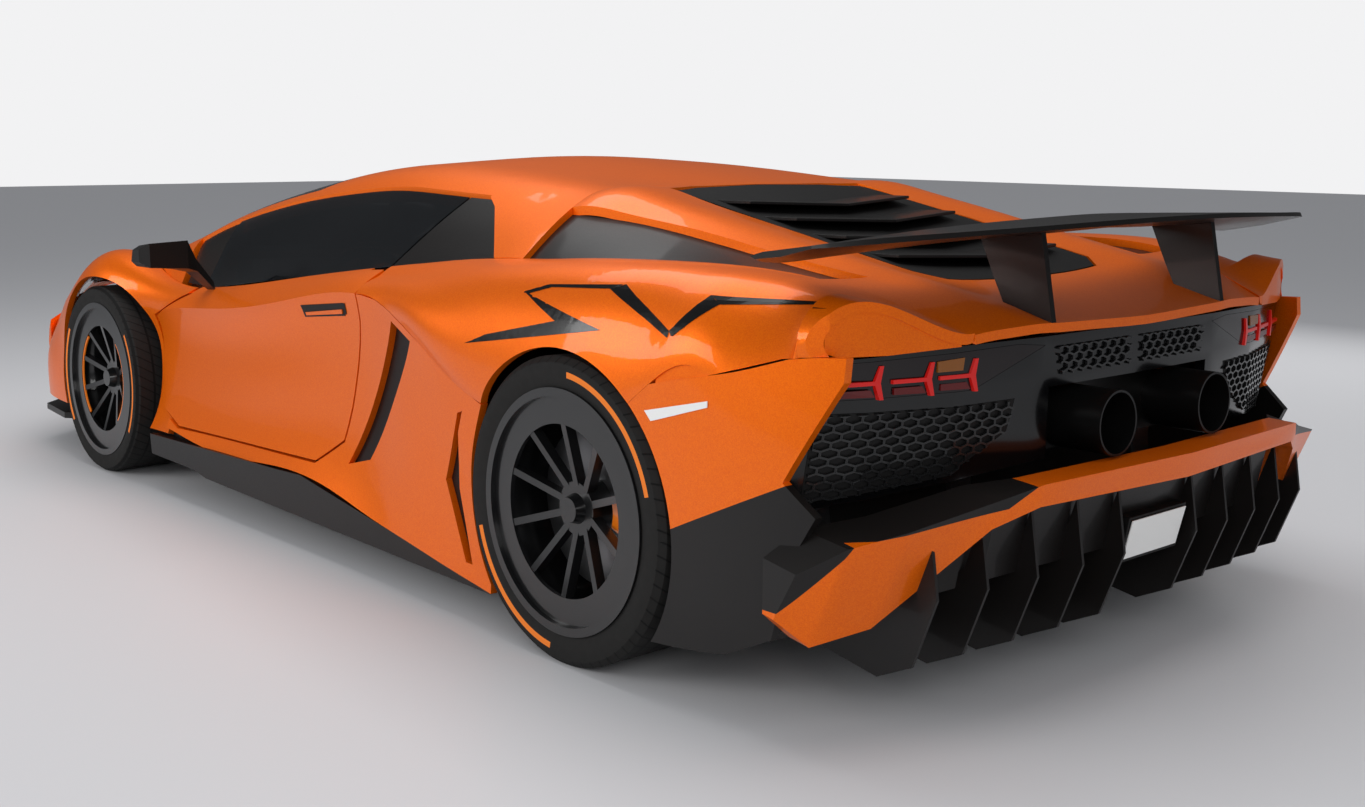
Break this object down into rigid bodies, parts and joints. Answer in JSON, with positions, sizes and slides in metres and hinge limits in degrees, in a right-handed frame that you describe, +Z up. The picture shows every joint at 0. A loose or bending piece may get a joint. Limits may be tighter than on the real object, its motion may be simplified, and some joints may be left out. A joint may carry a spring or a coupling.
{
  "type": "mid-engined sports car",
  "caption": "Low two-seat mid-engined sports car with lifting doors, tall rear wing, steering front wheels and opening lids.",
  "frame": {"origin": "on the ground, under the middle of the car's length and width", "axes": "+X forward, +Y to the car's left, +Z up"},
  "size_m": [4.835, 2.2594, 1.1366],
  "materials": {
    "black_panel": "gloss black",
    "brake_disc": "turned",
    "caliper_orange": "gloss",
    "clear_lens": "clear lens",
    "engine_cast": "as cast",
    "exhaust_black": "black coated",
    "frame_alloy": "as cast",
    "mesh_black": "black grille",
    "paint": "pearl gloss orange",
    "red_lens": "red lens",
    "satin_black": "satin black",
    "seat_leather": "black leather",
    "steel": "satin",
    "tinted_glass": "dark tint",
    "trim_soft": "grained",
    "tub_black": "woven composite",
    "tyre_rubber": "road tyre",
    "wheel_black": "gloss black wheel"
  },
  "bodies": {
    "car": {"calipers_rear": "caliper_orange", "dashboard": "trim_soft", "engine": "engine_cast", "exhaust": "exhaust_black", "front_bumper": "paint", "front_splitter": "satin_black", "front_wings": "paint", "grilles": "mesh_black", "headlamps": "clear_lens", "hinges": "steel", "quarter_glass": "tinted_glass", "rear_aerofoil": "satin_black", "rear_bumper": "paint", "rear_deck": "paint", "rear_diffuser": "satin_black", "rear_fascia": "black_panel", "rear_wings": "paint", "roof_frame": "paint", "seats": "seat_leather", "side_panels": "paint", "side_scoops": "satin_black", "side_skirts": "satin_black", "subframes": "frame_alloy", "tail_lamps": "red_lens", "tail_sides": "paint", "tub": "tub_black", "undertray": "tub_black", "uprights_rear": "frame_alloy", "windscreen": "tinted_glass", "wishbones": "steel"},
    "front_left_knuckle": {"upright_front_left": "frame_alloy", "caliper_front_left": "caliper_orange"},
    "front_right_knuckle": {"upright_front_right": "frame_alloy", "caliper_front_right": "caliper_orange"},
    "front_left_wheel": {"wheel_front_left": "wheel_black", "tyre_front_left": "tyre_rubber", "brake_disc_front_left": "brake_disc"},
    "front_right_wheel": {"wheel_front_right": "wheel_black", "tyre_front_right": "tyre_rubber", "brake_disc_front_right": "brake_disc"},
    "rear_left_wheel": {"wheel_rear_left": "wheel_black", "tyre_rear_left": "tyre_rubber", "brake_disc_rear_left": "brake_disc"},
    "rear_right_wheel": {"wheel_rear_right": "wheel_black", "tyre_rear_right": "tyre_rubber", "brake_disc_rear_right": "brake_disc"},
    "steering_control": {"steering_wheel": "trim_soft"},
    "left_door": {"door_left": "paint", "door_glass_left": "tinted_glass", "mirror_left": "satin_black"},
    "right_door": {"door_right": "paint", "door_glass_right": "tinted_glass", "mirror_right": "satin_black"},
    "luggage_lid": {"front_lid": "paint"},
    "engine_lid": {"engine_cover": "satin_black"}
  },
  "joints": [
    {"name": "steer_left", "type": "hinge", "parent": "car", "child": "front_left_knuckle", "pos_m": [1.2775, 0.808, 0.33], "axis": [0, 0, 1], "range_deg": [-28, 28]},
    {"name": "steer_right", "type": "hinge", "parent": "car", "child": "front_right_knuckle", "pos_m": [1.2775, -0.808, 0.33], "axis": [0, 0, 1], "range_deg": [-28, 28]},
    {"name": "steering_turn", "type": "hinge", "parent": "car", "child": "steering_control", "pos_m": [0.42, 0.375, 0.64], "axis": [-0.9397, 0, 0.342], "range_deg": [-350, 350]},
    {"name": "door_left_lift", "type": "hinge", "parent": "car", "child": "left_door", "pos_m": [0.71936, 0.74035, 0.66596], "axis": [-0.1732, 0.9824, -0.0698], "range_deg": [0, 70]},
    {"name": "door_right_lift", "type": "hinge", "parent": "car", "child": "right_door", "pos_m": [0.71936, -0.74035, 0.66596], "axis": [0.1732, 0.9824, 0.0698], "range_deg": [0, 70]},
    {"name": "luggage_lid_lift", "type": "hinge", "parent": "car", "child": "luggage_lid", "pos_m": [1.36604, 0, 0.71585], "axis": [0, -1, 0], "range_deg": [0, 45]},
    {"name": "engine_lid_lift", "type": "hinge", "parent": "car", "child": "engine_lid", "pos_m": [-1.161, 0, 1.01232], "axis": [0, 1, 0], "range_deg": [0, 50]},
    {"name": "spin_front_left", "type": "hinge", "parent": "front_left_knuckle", "child": "front_left_wheel", "pos_m": [1.2775, 0.86, 0.33], "axis": [0, 1, 0], "continuous": true},
    {"name": "spin_front_right", "type": "hinge", "parent": "front_right_knuckle", "child": "front_right_wheel", "pos_m": [1.2775, -0.86, 0.33], "axis": [0, 1, 0], "continuous": true},
    {"name": "spin_rear_left", "type": "hinge", "parent": "car", "child": "rear_left_wheel", "pos_m": [-1.4225, 0.83, 0.3555], "axis": [0, 1, 0], "continuous": true},
    {"name": "spin_rear_right", "type": "hinge", "parent": "car", "child": "rear_right_wheel", "pos_m": [-1.4225, -0.83, 0.3555], "axis": [0, 1, 0], "continuous": true}
  ],
  "couplings": [
    {"joint": "steer_right", "follows": "steer_left", "ratio": 1},
    {"joint": "steering_turn", "follows": "steer_left", "ratio": 12.5}
  ]
}
